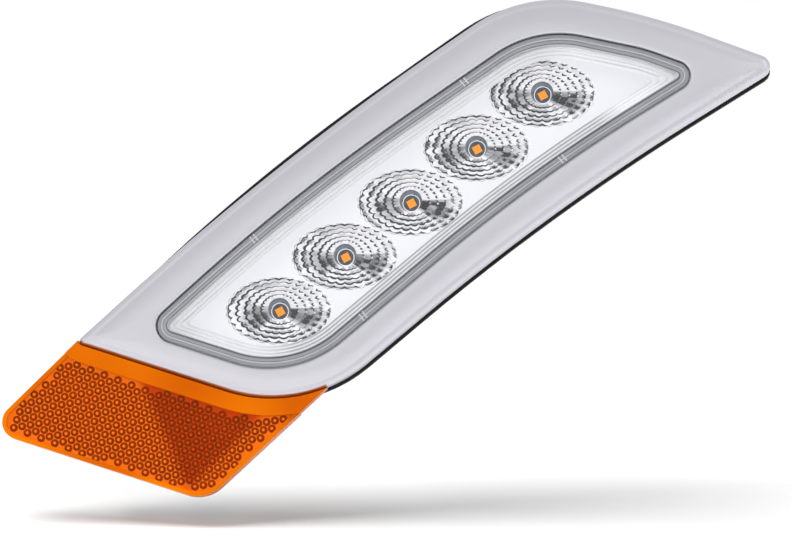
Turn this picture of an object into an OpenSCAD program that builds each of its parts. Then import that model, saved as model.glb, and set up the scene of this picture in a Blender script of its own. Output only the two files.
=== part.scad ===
// Side repeater lamp for the flank of a truck bonnet: a chromed bezel round a clear lens
// with five lamps in stepped cups, and an amber reflex reflector at the rear end.
// Every sub-part is drawn on the lamp's own face: X along the row of lamps, Y across it,
// Z outwards from the vehicle's panel. place() then rakes the row and stands the face up.

/* [Attitude and layout] */
// Angle of the row of lamps above level, as the lamp sits on the vehicle
rake = 39.2; // [0:0.2:60]
// Number of lamp pitches in the bezel's length
pitches_in_length = 8.486; // [8.3:0.002:8.56]

/* [Bezel outline] */
// Reach of the bezel's upper rear corner behind the middle lamp
rear_reach = 118.5; // [112:0.5:126]
// Height of the upper rear corner above the row
rear_top = 35.2; // [33.5:0.1:36.5]
// Share of the bezel's length at which the two halves of the top edge would meet
crown_share = 0.36367; // [0.345:0.0005:0.385]
// Height at which the two straight halves of the top edge would meet
crown_top = 39.7; // [39:0.1:41.5]
// Distance behind the tip where the top edge would meet the nose edge
nose_back = 51.6; // [47.6:0.5:55.6]
// Height at which the top edge would meet the nose edge
nose_top = 30.6; // [29.5:0.1:32]
// Distance behind the tip where the nose edge bends down
bend_back = 23.6; // [21.6:0.5:25.6]
// Drop of the bend in the nose edge below the row
bend_drop = 4.9; // [3.5:0.1:6]
// Reach of the tip in front of the middle lamp, before its corner is rounded
tip_reach = 127.6; // [124:0.2:132]
// Drop of the tip below the row, before its corner is rounded
tip_drop = 45.7; // [43.5:0.1:48]
// Distance behind the tip where the halves of the lower edge would meet
belly_back = 92.6; // [86.6:0.5:98.6]
// Drop of the lower edge below the row at that place
belly_drop = 33.2; // [32:0.1:34]
// Distance of the lower rear corner in front of the upper one, before it is rounded
heel_ahead = 44.5; // [42:0.5:47]
// Drop of the lower rear corner below the row
heel_drop = 34.2; // [33.6:0.1:36]
// Share of the rear half of the top edge that is bowed
crown_bow = 0.80306; // [0.6:0.01:0.82]
// Radius of the corner between top and nose edges
nose_r = 50; // [42:1:54]
// Radius of the bend in the nose edge
bend_r = 240; // [150:10:250]
// Radius of the tip
tip_r = 4; // [2.5:0.5:6]
// Radius of the hollow in the lower edge, in lengths of the bezel
belly_bow = 3.2507; // [2.5:0.02:3.4]
// Radius of the lower rear corner
heel_r = 50; // [44:1:52]
// Radius of the upper rear corner
rear_r = 1.5; // [1:0.5:3]

/* [Bezel section] */
// Width of chrome between the top edge and the lens
bezel_top_w = 12.8; // [12.4:0.1:14]
// Width of chrome between the nose edge and the lens
bezel_nose_w = 11.8; // [11.4:0.1:13]
// Width of chrome between the lower edge and the lens
bezel_bottom_w = 11; // [10.8:0.1:12]
// Width of chrome between the rear edge and the lens
bezel_rear_w = 9.7; // [9.2:0.1:11]
// Wall of the bezel moulding
bezel_wall = 1.8; // [1.6:0.1:2]
// Height of the bezel's lowest edge above the vehicle's panel
bezel_foot = 7; // [6.8:0.1:7.4]
// Height that the rolled outer edge climbs
roll_rise = 1.9; // [1.4:0.1:2.2]
// Width of the rolled outer edge
roll_w = 2.6; // [2.2:0.1:3.2]
// Height of the bezel's crest beside the lens above the vehicle's panel
crest = 11.2; // [10.8:0.1:11.8]
// The same share for the top of the lens opening
opening_crown_bow = 0.55066; // [0.45:0.01:0.57]
// Radius of the bend in the nose side of the lens opening
opening_bend_r = 60; // [40:5:80]
// Radius of the hollow in the bottom of the lens opening, in lengths of the bezel
opening_belly_bow = 2.438; // [2.1:0.02:2.5]
// Radius of the corner of the lens opening nearest the rear
opening_rear_r = 6; // [5:0.5:7]
// Radius of the corner of the lens opening nearest the tip
opening_tip_r = 5; // [4:0.5:6]

/* [Lens] */
// Width of the lens rim that shows round the window
rim_w = 3.6; // [3.4:0.1:4]
// Height of the flat of the rim above the vehicle's panel
rim_top = 10; // [9.8:0.1:10.4]
// Height of the window above the vehicle's panel
window_top = 11.3; // [11:0.1:12]
// Thickness of the window
window_t = 2; // [1.6:0.1:2.2]
// Thickness of the flange that lies under the bezel
flange_t = 1.5; // [1.3:0.1:1.7]
// Width of the flange that lies under the bezel
flange_out = 3; // [2.8:0.1:3.2]
// Thickness of the skirt that is bonded into the case
skirt_t = 1.6; // [1.4:0.1:1.8]
// Width of each of the four flow notches across the rim
notch_w = 1.4; // [1:0.1:2]

/* [Reflector] */
// Half length of a cup, which lies level on the vehicle, in lamp pitches
cup_long = 0.6069; // [0.57:0.002:0.612]
// Half height of a cup, in lamp pitches
cup_high = 0.3862; // [0.365:0.002:0.39]
// Distance of the cups' brims below the row of lamps
cup_drop = 0.5; // [0:0.1:1]
// Radius of the hole that a lamp shines through
lamp_hole_r = 3.85; // [3.7:0.05:4.2]
// Number of pillow facets round a cup
cup_columns = 28; // [20:2:32]
// Number of stepped rings in a cup
cup_rings = 5; // [4:1:6]
// Share of its radius by which a facet's edge bows outwards
scallop = 0.022; // [0:0.002:0.03]
// Height of the step between two rings
cup_step = 0.5; // [0.3:0.05:0.6]
// Height of the reflector's deck above the vehicle's panel
deck_top = 6; // [5.8:0.1:6.2]
// Depth from the deck to the lamp holes
cup_depth = 6.4; // [6.2:0.1:6.6]
// Thickness of the deck and of the cups
deck_t = 1.4; // [1.2:0.1:1.6]
// Width of each ledge between the rim and the deck
ledge_w = 1.25; // [1:0.05:1.5]
// Height of each ledge
ledge_h = 0.6; // [0.4:0.05:0.6]

/* [Lamps and board] */
// Side of a lamp's square package
package_w = 5; // [4.8:0.1:5.2]
// Side of the amber window in a package
emitter_w = 2.8; // [2.4:0.1:3.8]
// Turn of the packages from the row of lamps
lamp_turn = -12; // [-15:1:15]
// Height of a lamp's package
package_h = 0.9; // [0.8:0.05:1]
// Thickness of the circuit board
board_t = 1.6; // [1:0.1:2]
// Width of the circuit board
board_w = 18; // [16:0.5:20]
// Length of board past the last lamp at each end
board_over = 9; // [8:0.5:10]
// Gap between the underside of the cups and the board
board_gap = 0.4; // [0.2:0.1:0.6]
// Radius of the board screws' thread
board_screw_r = 1.25; // [1:0.05:1.5]

/* [Case] */
// Thickness of the sealing gasket
gasket_t = 2.5; // [2:0.1:2.6]
// Width of gasket that shows along the upper front edge
gasket_show = 1.6; // [0.6:0.1:1.8]
// Thickness of the mounting flange
plate_t = 2.4; // [2.2:0.1:2.6]
// Thickness of the walls and floor of the case
case_wall = 2; // [1.8:0.1:2.2]
// Depth of the case behind the vehicle's panel
case_depth = 14; // [13:0.5:20]
// Radius of the threaded studs
stud_r = 2.5; // [2:0.1:3]
// Length of stud behind the vehicle's panel
stud_l = 16; // [12:1:24]
// Radius of the bezel screws' thread
bezel_screw_r = 1.3; // [1.1:0.1:1.5]

/* [Plug socket] */
// Inside width of the socket
socket_w = 13; // [11:0.5:16]
// Inside height of the socket
socket_h = 8; // [7:0.5:9]
// Length of the socket behind the case
socket_l = 15; // [13:0.5:20]
// Number of terminals in the socket
terminals = 3; // [2:1:3]
// Distance from one terminal to the next
terminal_pitch = 3.4; // [3:0.1:3.8]

/* [Reflex reflector] */
// Reach of the reflex reflector's upper corner behind the bezel's upper rear corner
reflex_reach = 42; // [38:0.5:46]
// Height of the reflex reflector's upper corner above the row
reflex_top = 31.3; // [29.5:0.1:32.5]
// Distance of the reflex reflector's lower corner behind the bezel's lower rear corner
reflex_heel_back = 44; // [40.5:0.5:47.5]
// Drop of the reflex reflector's lower corner below the row
reflex_heel_drop = 35.2; // [33.5:0.1:36.5]
// Height of the lower edge's end below the row, under the bezel's heel
reflex_end_drop = 31.7; // [31.4:0.1:32.2]
// Radius of the upper corner
reflex_corner_r = 6; // [4:0.5:8]
// Radius of the lower corner
reflex_heel_r = 12; // [9:0.5:14]
// Gap between the bezel and the reflex reflector
reflex_gap = 0.3; // [0.2:0.05:0.6]
// Height of the reflex reflector's face above the vehicle's panel
reflex_face = 9.2; // [9:0.1:9.6]
// Thickness of clear amber in front of the prisms
reflex_t = 1.8; // [1.6:0.1:2]
// Height of the prisms
prism_h = 1.1; // [0.8:0.1:1.2]
// Distance across the flats from one prism to the next
prism_pitch = 2.9; // [2.5:0.1:4]
// Width of the smooth band beside the bezel
smooth_w = 7; // [5:0.5:9]
// Height by which the smooth band stands above the face
smooth_rise = 0.7; // [0.3:0.1:0.9]
// Width of the smooth border along the free edges
border_w = 2.4; // [2.2:0.1:3.5]

/* [Hidden] */

lamp_count = 5;
round_fn = 48;
far = 400;

// Places along the row that follow from the reach of the bezel, and the lamps' spacing
length = rear_reach + tip_reach;
crown_at = crown_share * length - rear_reach;
heel_at = heel_ahead - rear_reach;
nose_at = tip_reach - nose_back;
bend_at = tip_reach - bend_back;
belly_at = tip_reach - belly_back;
crown_turn = atan((crown_top - rear_top) / (crown_at + rear_reach))
    + atan((crown_top - nose_top) / (nose_at - crown_at));
bow_unit = (crown_at + rear_reach) / tan(crown_turn / 2);
lamp_pitch = length / pitches_in_length;
cup_half_l = cup_long * lamp_pitch;
cup_half_h = cup_high * lamp_pitch;
// The middle lamp stands a little behind the middle of the bezel
row_set_back = 4.55;
row_mid = (tip_reach - rear_reach) / 2 - row_set_back;

// Corners of the bezel before rounding, clockwise from the upper rear one
bezel_corners = [[-rear_reach, rear_top], [crown_at, crown_top], [nose_at, nose_top],
    [bend_at, -bend_drop], [tip_reach, -tip_drop], [belly_at, -belly_drop], [heel_at, -heel_drop]];
// Radii of the same corners on the outer edge, and on the lens opening
outer_radii = [rear_r, crown_bow * bow_unit, nose_r, bend_r, tip_r, belly_bow * length, heel_r];
opening_radii = [opening_rear_r, opening_crown_bow * bow_unit, nose_r - bezel_nose_w, opening_bend_r,
    opening_tip_r, opening_belly_bow * length, heel_r - bezel_bottom_w];
// Width of chrome on the side that starts at each corner
side_widths = [bezel_top_w, bezel_top_w, bezel_nose_w, bezel_nose_w,
    bezel_bottom_w, bezel_bottom_w, bezel_rear_w];
// Number of arc steps at each corner
arc_steps = [4, 12, 10, 5, 6, 12, 12];

// Unit vector from corner i of a closed outline to the next corner
function side_dir(p, i) = let (d = p[(i + 1) % len(p)] - p[i]) d / norm(d);
// Inward normal of that side, for a clockwise outline
function side_in(p, i) = let (d = side_dir(p, i)) [d[1], -d[0]];
// Corner i after the two sides that meet in it have moved inwards
function moved_corner(p, w, i) = let (n = len(p), j = (i + n - 1) % n,
    a = side_in(p, j), b = side_in(p, i), c = a * b, q = 1 - c * c)
    p[i] + a * ((w[j] - w[i] * c) / q) + b * ((w[i] - w[j] * c) / q);
function moved_corners(p, w) = [for (i = [0 : len(p) - 1]) moved_corner(p, w, i)];
// Points of the arc that rounds corner i; a hollow corner has its centre outside
function corner_arc(p, i, r, steps) = let (n = len(p), j = (i + n - 1) % n,
    d = side_dir(p, j), e = side_dir(p, i), a = side_in(p, j),
    turn = atan2(d[0] * e[1] - d[1] * e[0], d * e), s = sign(-turn),
    start = p[i] - d * (r * tan(abs(turn) / 2)), centre = start + a * (s * r))
    [for (k = [0 : steps]) let (t = turn * k / steps, c = cos(t), z = sin(t))
        centre - [a[0] * c - a[1] * z, a[0] * z + a[1] * c] * (s * r)];
function rounded(p, r, steps) = [for (i = [0 : len(p) - 1]) each corner_arc(p, i, r[i], steps[i])];

// Radius at corner i for an outline a share f across the chrome and e further in
function face_radius(i, f, e) = let (r = outer_radii[i] + (opening_radii[i] - outer_radii[i]) * f)
    i == 5 ? r + e : max(r - e, min(r, 1.2));
// The bezel's outline moved a share f across the chrome (1 is the lens opening) and e further in
function face_path(f, e) = rounded(moved_corners(bezel_corners, [for (w = side_widths) w * f + e]),
    [for (i = [0 : 6]) face_radius(i, f, e)], arc_steps);
module outline(e) polygon(face_path(0, e));
module opening(e) polygon(face_path(1, e));
module opening_ring(a, b) {
    difference() {
        opening(a);
        opening(b);
    }
}
// Layer between two heights
module layer(a, b) translate([0, 0, a]) linear_extrude(b - a) children();

// Heights above the vehicle's panel
plate_top = gasket_t + plate_t;
hole_z = deck_top - cup_depth;
board_top = hole_z - deck_t - board_gap;
board_back = board_top - board_t;
floor_top = case_wall - case_depth;
bezel_lip = rim_top - 0.6;
lens_foot = bezel_lip - flange_t;
wall_top = lens_foot - 0.9;

// Distances outwards from the lens opening, under the bezel
skirt_in = 0.4;
channel_clear = 0.2;
channel_in = skirt_in - channel_clear;
channel_out = skirt_in + skirt_t + 2 * channel_clear;
channel_wall = 1.4;
seal_h = 0.5;

// The rim wall of the case carries the bezel's edge
rim_in = 0.3;
rim_wall = 1.6;
clear = 0.2;

// Where the lamp's fasteners stand, as points of the outline moved in to their line
screw_boss_r = bezel_screw_r + 0.9;
screw_in = rim_in + rim_wall + clear + screw_boss_r;
screw_line = face_path(0, screw_in);
screw_at = [for (i = [1, 7, 21, 30, 38, 48, 58]) screw_line[i]];
stud_in = (bezel_top_w - channel_out - channel_wall + rim_in + rim_wall) / 2 + 0.2;
stud_head_r = stud_r + 1.1;
stud_head_h = plate_t - 0.6;
stud_boss_r = stud_head_r + 1.1;
stud_boss_top = plate_top + 0.8;
mid_stud_at = face_path(0, stud_in)[12];
tip_stud_at = moved_corners(bezel_corners, [for (w = side_widths) stud_boss_r + rim_in])[4]
    + [-7, 4];
rear_stud_at = [-rear_reach - 10, 2];

// Moves the drawing so that the middle stud is the origin, rakes it and stands it up
module place() {
    rotate([90, 0, 0]) rotate([0, 0, rake]) translate([-mid_stud_at[0], -mid_stud_at[1], 0])
        children();
}

// Solid through a stack of closed rings with equal numbers of points; the last joins the first
module looped_rings(rings) {
    n = len(rings[0]);
    m = len(rings);
    polyhedron(points = [for (r = rings) each r],
        faces = [for (k = [0 : m - 1], i = [0 : n - 1]) let (a = k * n + i, b = k * n + (i + 1) % n,
            c = (k + 1) % m * n + i, d = (k + 1) % m * n + (i + 1) % n) each [[a, b, d], [a, d, c]]]);
}
// Solid through a stack of closed rings, with a flat at each end
module stacked_rings(rings) {
    n = len(rings[0]);
    m = len(rings);
    polyhedron(points = [for (r = rings) each r],
        faces = concat([[for (i = [0 : n - 1]) i]], [[for (i = [0 : n - 1]) m * n - 1 - i]],
            [for (k = [0 : m - 2], i = [0 : n - 1]) let (a = k * n + i, b = k * n + (i + 1) % n)
                each [[a, b + n, b], [a, a + n, b + n]]]));
}
function raised(path, z) = [for (p = path) [p[0], p[1], z]];

// Bezel section as [share across the chrome, distance further in, height], up the outside,
// over the crest, down to the lens and back underneath
roll_top = bezel_foot + 0.4 + roll_rise;
crest_w = 1.2;
roll_steps = 4;
crown_steps = 5;
bezel_section = concat(
    [[0, 0, bezel_foot]],
    [for (k = [0 : roll_steps]) let (t = 90 * k / roll_steps)
        [0, roll_w * (1 - cos(t)), bezel_foot + 0.4 + roll_rise * sin(t)]],
    [for (k = [1 : crown_steps]) let (t = k / crown_steps)
        [t, roll_w * (1 - t) - crest_w * t, roll_top + (crest - roll_top) * (1 - (1 - t) * (1 - t))]],
    [for (k = [1 : 3]) let (t = 30 * k) [1, -crest_w * (1 - sin(t)), crest - (1 - cos(t))]],
    [[1, 0, bezel_lip]],
    [[1, -flange_out - clear, bezel_lip]],
    [for (k = [0 : 2]) let (t = 1 - 0.35 * k)
        [t, (roll_w + 0.6) * (1 - t) - (flange_out + 1) * t,
            roll_top + (crest - roll_top) * (1 - (1 - t) * (1 - t)) - bezel_wall + 0.2]],
    [[0, bezel_wall, bezel_foot]]);

// Chromed bezel: a domed shell with a rolled edge, screwed on from behind through its bosses
module bezel() {
    color("gainsboro") place() difference() {
        union() {
            looped_rings([for (s = bezel_section) raised(face_path(s[0], s[1]), s[2])]);
            for (p = screw_at) translate([p[0], p[1], plate_top])
                cylinder(r = screw_boss_r, h = roll_top - plate_top - 0.4, $fn = round_fn);
        }
        for (p = screw_at) translate([p[0], p[1], plate_top - 1])
            cylinder(r = bezel_screw_r, h = roll_top - plate_top - 0.4, $fn = round_fn);
    }
}

// Self-tapping screws that hold the bezel, driven from behind the flange
screw_head_r = bezel_screw_r + 1.1;
screw_head_h = 1.2;
module bezel_screws() {
    color("darkgray") place() for (p = screw_at) translate([p[0], p[1], 0]) difference() {
        union() {
            layer(gasket_t - screw_head_h, gasket_t) circle(screw_head_r, $fn = round_fn);
            layer(gasket_t - 0.1, roll_top - 2) circle(bezel_screw_r, $fn = round_fn);
        }
        layer(gasket_t - screw_head_h - 1, gasket_t - screw_head_h / 2)
            circle(bezel_screw_r * 0.8, $fn = 6);
    }
}

// Place along the row of lamp i
function lamp_x(i) = row_mid + (i - (lamp_count - 1) / 2) * lamp_pitch;
// Marks for the flow notches: place along the row, and the side of the row that they are on
notch_marks = [[lamp_x(0) + 9, 1], [lamp_x(4) - 18, 1], [lamp_x(0) + 21, -1], [lamp_x(4) - 9, -1]];
rib_in = 1.4;
rib_w = 0.8;
rib_h = 0.35;

// Clear lens: window, rim with a raised rib, flange under the bezel and bonded skirt
module outer_lens() {
    color([0.85, 0.9, 0.95, 0.35]) place() difference() {
        union() {
            layer(lens_foot, bezel_lip) opening(-flange_out);
            layer(bezel_lip - 0.2, rim_top) opening(clear);
            layer(rim_top - 0.2, rim_top + rib_h) opening_ring(rib_in, rib_in + rib_w);
            layer(rim_top - 0.2, window_top) opening(rim_w);
            layer(plate_top + seal_h, lens_foot + 0.2)
                opening_ring(-skirt_in - skirt_t, -skirt_in);
        }
        layer(lens_foot - 1, window_top - window_t) opening(rim_w + 0.2);
        for (m = notch_marks) layer(rim_top - 0.4, rim_top + 1) intersection() {
            opening_ring(clear - 1, rim_w);
            translate([m[0] - notch_w / 2, m[1] > 0 ? 0 : -far / 2]) square([notch_w, far / 2]);
        }
    }
}

// Bead of sealant in the floor of the channel under the lens skirt
module lens_seal() {
    color("dimgray") place() layer(plate_top, plate_top + seal_h)
        opening_ring(-channel_out, -channel_in);
}

// Radius share of a cup's ring k, and the height of its foot
function ring_share(k) = k / cup_rings;
function cup_z(f) = hole_z + cup_depth * pow(f, 1.45);
function ring_z(k) = cup_z(ring_share(k));
// Shift of a cup's brim from its lamp, in the cup's own level axes
cup_lean = [cup_drop * sin(rake), -cup_drop * cos(rake)];
// Outline of a cup at share f of the way from the hole to the brim; g turns the scallops on
function cup_ring(f, g, z, lift) = let (a = lamp_hole_r + (cup_half_l - lamp_hole_r) * f,
    b = lamp_hole_r + (cup_half_h - lamp_hole_r) * f, n = 2 * cup_columns)
    [for (i = [0 : n - 1]) let (t = 360 * i / n, s = 1 + g * scallop * (i % 2 == 0 ? -1 : 1))
        [a * s * cos(t) + cup_lean[0] * f, b * s * sin(t) + cup_lean[1] * f,
            z + (i % 2 == 0 ? 0 : lift)]];
// The hollow of a cup: stepped rings of pillow facets round the lamp hole
module cup_hollow() {
    pillow = cup_step * 0.45;
    slope = 0.006;
    stacked_rings(concat(
        [cup_ring(0, 0, hole_z - deck_t - 1, 0)],
        [for (k = [0 : cup_rings - 1]) each [
            cup_ring(ring_share(k) + (k == 0 ? 0 : slope), k == 0 ? 0 : 1, ring_z(k), k == 0 ? 0 : pillow),
            cup_ring(ring_share(k + 1), 1, ring_z(k + 1) - cup_step, pillow)]],
        [cup_ring(1 + 2 * slope, 1, deck_top + 1, 0)]));
}
// The outside of a cup, a plain bowl of even wall
module cup_bowl() {
    n = 24;
    wall = deck_t - 0.2;
    stacked_rings([for (f = [0, 0.3, 0.6, 0.9])
        [for (i = [0 : n - 1]) let (t = 360 * i / n,
            a = lamp_hole_r + (cup_half_l - lamp_hole_r) * f + wall,
            b = lamp_hole_r + (cup_half_h - lamp_hole_r) * f + wall)
            [a * cos(t) + cup_lean[0] * f, b * sin(t) + cup_lean[1] * f,
                f == 0 ? hole_z - deck_t : cup_z(f) - 0.8 + f / 2]]]);
}
module at_cups() {
    for (i = [0 : lamp_count - 1]) translate([lamp_x(i), 0, 0]) rotate(-rake) children();
}
ledge_in = rim_w + 0.6;
// Metallised reflector: deck with ledges round it and five stepped cups
module reflector() {
    color("whitesmoke") place() difference() {
        union() {
            layer(deck_top - deck_t, deck_top) opening(case_wall + clear);
            for (k = [1 : 3]) layer(deck_top - 0.2, deck_top + k * ledge_h)
                opening_ring(case_wall + clear, ledge_in + (3 - k) * ledge_w);
            layer(wall_top, deck_top + 3 * ledge_h) opening_ring(clear, ledge_in);
            at_cups() cup_bowl();
        }
        at_cups() cup_hollow();
    }
}

window_h = 0.25;
module at_lamp(i, z) translate([lamp_x(i), 0, z]) rotate(lamp_turn) children();
// Lamp package with a recess for its amber window
module lamp_package(i) {
    color("slategray") place() at_lamp(i, board_top) difference() {
        translate([-package_w / 2, -package_w / 2, 0]) cube([package_w, package_w, package_h]);
        translate([-emitter_w / 2, -emitter_w / 2, package_h - window_h])
            cube([emitter_w, emitter_w, 1]);
    }
}
module lamp_window(i) {
    color("orange") place() at_lamp(i, board_top + package_h - window_h)
        translate([-emitter_w / 2, -emitter_w / 2, 0]) cube([emitter_w, emitter_w, window_h]);
}

board_l = (lamp_count - 1) * lamp_pitch + 2 * board_over;
board_corner_r = 2;
board_screw_at = [[lamp_x(0.5), 0], [lamp_x(3.5), 0]];
socket_at = [lamp_x(2.5), 0];
terminal_w = 0.8;
terminal_at = [for (k = [0 : terminals - 1]) (k - (terminals - 1) / 2) * terminal_pitch];
module at_socket() translate([socket_at[0], socket_at[1], 0]) rotate(-rake) children();
module terminal_holes() for (x = terminal_at) translate([x, 0]) square(terminal_w, center = true);

// Circuit board that carries the lamps
module circuit_board() {
    color("honeydew") place() difference() {
        layer(board_back, board_top) translate([row_mid, 0]) offset(r = board_corner_r, $fn = 24)
            square([board_l - 2 * board_corner_r, board_w - 2 * board_corner_r], center = true);
        for (p = board_screw_at) translate([p[0], p[1], board_back - 1])
            cylinder(r = board_screw_r + 0.15, h = board_t + 2, $fn = round_fn);
        layer(board_back - 1, board_top + 1) at_socket() terminal_holes();
    }
}
// Screws that hold the board down on the pillars of the case
module board_screws() {
    color("silver") place() for (p = board_screw_at) translate([p[0], p[1], 0]) difference() {
        union() {
            layer(board_top, board_top + 1.1) circle(2 * board_screw_r, $fn = round_fn);
            layer(board_back - 5, board_top + 0.1) circle(board_screw_r, $fn = round_fn);
        }
        layer(board_top + 0.5, board_top + 2) circle(board_screw_r * 0.8, $fn = 6);
    }
}

// A small rectangular component soldered on the back of the board
module on_board(x, y, l, w, h) {
    translate([x - l / 2, y - w / 2, board_back - h]) cube([l, w, h]);
}
chip_l = 5;
chip_w = 4;
chip_h = 1.5;
leg_pitch = 1.27;
leg_w = 0.4;
chip_x = lamp_x(1) + 5;
// Constant-current driver with its two rows of legs
module driver_chip() {
    color("black") place() union() {
        on_board(chip_x, 0, chip_l, chip_w, chip_h);
        for (k = [0 : 3], s = [-1, 1])
            on_board(chip_x + (k - 1.5) * leg_pitch, s * chip_w * 0.62, leg_w, chip_w * 0.3, chip_h / 2);
    }
}
diode_l = 4.4;
diode_h = 2;
module surge_diode() {
    color("black") place() union() {
        on_board(lamp_x(3) - 3, 0, diode_l, diode_l * 0.8, diode_h);
        on_board(lamp_x(3) - 3, 0, diode_l * 1.36, diode_l * 0.36, diode_h / 2);
    }
}
can_x = lamp_x(2) - 10;
can_r = 3;
can_h = 5.8;
can_base_h = 0.8;
module capacitor() {
    color("silver") place() union() {
        on_board(can_x, 0, 2 * can_r + 0.2, 2 * can_r + 0.2, can_base_h);
        translate([can_x, 0, board_back - can_h])
            cylinder(r = can_r, h = can_h - can_base_h / 2, $fn = round_fn);
    }
}
// Chip resistors in a row along the back of the board
resistor_l = 3.2;
module resistors() {
    color("dimgray") place() for (k = [0 : 5])
        on_board(lamp_x(0.75 + 0.45 * k), board_w / 2 - resistor_l, resistor_l, resistor_l / 2, resistor_l / 5);
}
// Terminals from the board through the floor of the case into the socket
module socket_terminals() {
    color("gold") place() layer(-case_depth - socket_l + 7, board_top + 0.6)
        at_socket() terminal_holes();
}

// Outline of the reflex reflector before the bezel's edge is taken out of it; its lower edge
// ends under the bezel, in front of the heel
reflex_end_ahead = 16;
reflex_corners = [[-rear_reach + 6, rear_top + 0.2], [heel_at + reflex_end_ahead, -reflex_end_drop],
    [heel_at - reflex_heel_back, -reflex_heel_drop], [-rear_reach - reflex_reach, reflex_top]];
module reflex_blank(e) polygon(rounded(moved_corners(reflex_corners, [-8, e, e, e]),
    [1, 1, max(reflex_heel_r - e, 2), max(reflex_corner_r - e, 2)], [2, 2, 10, 10]));
// Reflex reflector outline: e in from its free edges, b clear of the bezel
module reflex_outline(e, b) {
    difference() {
        reflex_blank(e);
        outline(-b);
    }
}
reflex_skirt = 1.6;
flange_edge = reflex_skirt + clear;
// Hexagonal cells on a close-packed grid
module prism_cells() {
    dx = prism_pitch * sin(60);
    for (i = [0 : ceil(110 / dx)], j = [0 : ceil(80 / prism_pitch)])
        translate([-rear_reach - reflex_reach + i * dx,
            -reflex_heel_drop - 4 + (j + (i % 2) / 2) * prism_pitch])
            circle(prism_pitch * 0.46, $fn = 6);
}
// Amber reflex reflector: plain face, raised smooth band, prisms behind and a welded skirt
module reflex_reflector() {
    base = reflex_face - reflex_t;
    color("darkorange") place() union() {
        layer(base, reflex_face) reflex_outline(0, reflex_gap);
        layer(reflex_face - 0.2, reflex_face + smooth_rise) difference() {
            reflex_outline(0, reflex_gap);
            outline(-smooth_w);
        }
        layer(plate_top, base + 0.2) difference() {
            reflex_outline(0, reflex_gap);
            reflex_outline(reflex_skirt, reflex_gap + reflex_skirt);
        }
        layer(gasket_t + clear, plate_top + 0.2) difference() {
            reflex_outline(0, reflex_gap);
            reflex_blank(reflex_skirt);
        }
        layer(base - prism_h, base + 0.2) intersection() {
            reflex_outline(border_w, smooth_w);
            prism_cells();
        }
    }
}
// White backing plate that closes the prisms from behind
module reflex_backing() {
    color("white") place() layer(plate_top, plate_top + 0.8) difference() {
        reflex_outline(reflex_skirt + clear, reflex_gap + reflex_skirt + clear);
        translate(rear_stud_at) circle(stud_boss_r + clear, $fn = round_fn);
    }
}

// One stud, moulded into the flange: round head that runs through the gasket, and shank
module stud_at(p) {
    color("silver") place() translate([p[0], p[1], 0]) union() {
        layer(0, gasket_t + stud_head_h) circle(stud_head_r, $fn = round_fn);
        layer(-stud_l, 0.1) circle(stud_r, $fn = round_fn);
    }
}

vent_at = [lamp_x(0) + 18, 4];
vent_r = 5;
vent_t = 0.4;
module all_studs() for (p = [mid_stud_at, tip_stud_at, rear_stud_at]) translate(p) children();

// The flange's outline: flush with the bezel, drawn in under the reflex reflector's skirt
module flange_outline() {
    union() {
        outline(rim_in);
        reflex_blank(flange_edge);
    }
}

// Black rear case: flange, rim wall, box with pillars, lens channel, socket and ribs
module rear_case() {
    rib = 1.6;
    color([0.12, 0.12, 0.13]) place() difference() {
        union() {
            layer(gasket_t, plate_top) flange_outline();
            layer(plate_top - 0.2, bezel_foot) difference() {
                outline(rim_in);
                outline(rim_in + rim_wall);
            }
            layer(plate_top - 0.2, lens_foot - 0.3)
                opening_ring(-channel_out - channel_wall, -channel_out);
            layer(floor_top - case_wall, wall_top) opening(0);
            all_studs() layer(plate_top - 0.2, stud_boss_top) circle(stud_boss_r, $fn = round_fn);
            layer(-case_depth - 1.2, -case_depth + 0.2) intersection() {
                opening(5);
                union() {
                    for (k = [-0.5 : 0.7 : 4.5]) translate([lamp_x(k) - rib / 2, -far / 2])
                        square([rib, far]);
                    for (y = [-12, 12]) translate([-far / 2, y - rib / 2]) square([far, rib]);
                }
            }
            layer(-case_depth - socket_l, -case_depth + 0.2) at_socket()
                offset(r = case_wall, $fn = 32) square([socket_w, socket_h], center = true);
            layer(-case_depth - 1.6, -case_depth + 0.2) translate(vent_at)
                circle(vent_r + 2, $fn = round_fn);
        }
        difference() {
            layer(floor_top, wall_top + 1) opening(case_wall);
            for (p = board_screw_at) translate([p[0], p[1], floor_top - 1])
                cylinder(r = board_screw_r + 1.5, h = board_back - floor_top + 1, $fn = round_fn);
        }
        for (p = board_screw_at) translate([p[0], p[1], board_back - 5])
            cylinder(r = board_screw_r, h = 6, $fn = round_fn);
        layer(plate_top, lens_foot) opening_ring(-channel_out, 0);
        for (p = screw_at) translate([p[0], p[1], 0])
            cylinder(r = bezel_screw_r + 0.15, h = plate_top + 1, $fn = round_fn);
        for (p = screw_at) translate([p[0], p[1], plate_top])
            cylinder(r = screw_boss_r + clear, h = lens_foot - plate_top, $fn = round_fn);
        all_studs() layer(gasket_t - 1, gasket_t + stud_head_h) circle(stud_head_r, $fn = round_fn);
        layer(-case_depth - socket_l - 1, -case_depth) at_socket()
            square([socket_w, socket_h], center = true);
        layer(-case_depth - 1, floor_top + 1) at_socket() terminal_holes();
        layer(-case_depth - 2, -case_depth - 1.6 + vent_t) translate(vent_at)
            circle(vent_r, $fn = round_fn);
        layer(-case_depth - 2, floor_top + 1) translate(vent_at) circle(1.5, $fn = round_fn);
    }
}
// Breather disc welded into its recess in the floor of the case
module vent_membrane() {
    color("lightgray") place() layer(-case_depth - 1.6, -case_depth - 1.6 + vent_t)
        translate(vent_at) circle(vent_r, $fn = round_fn);
}

// Distance in from the bezel's sides to the gasket's, from the top edge clockwise
gasket_proud = 0.5;
gasket_under = 0.8;
gasket_offsets = [-0.2, -gasket_show, gasket_under, gasket_under,
    -gasket_proud, -gasket_proud, -gasket_proud];
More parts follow.
